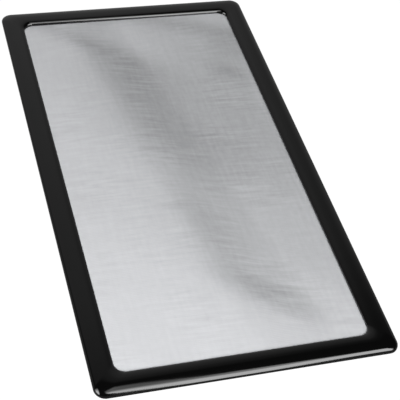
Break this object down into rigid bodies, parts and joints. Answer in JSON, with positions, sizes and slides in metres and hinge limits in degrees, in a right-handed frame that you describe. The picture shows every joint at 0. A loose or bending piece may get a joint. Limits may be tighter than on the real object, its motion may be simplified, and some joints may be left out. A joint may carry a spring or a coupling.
{
  "type": "fan dust filter",
  "caption": "Rectangular dust filter for fans side by side: a low domed black frame grips a fine woven mesh, and magnet strips in its flat back hold it to steel.",
  "frame": {"origin": "centre of the flat back face", "axes": "+X across the width, +Y along the length, +Z out of the domed front"},
  "size_m": [0.14, 0.26, 0.003],
  "materials": {
    "moulded_pvc": "smooth moulded, semi-gloss black",
    "filter_mesh": "fine silver-grey monofilament weave",
    "magnet_rubber": "matt, slit from rolled sheet"
  },
  "bodies": {
    "root": {"frame": "moulded_pvc", "mesh": "filter_mesh", "magnet_left": "magnet_rubber", "magnet_right": "magnet_rubber", "magnet_near": "magnet_rubber", "magnet_far": "magnet_rubber"}
  },
  "joints": []
}
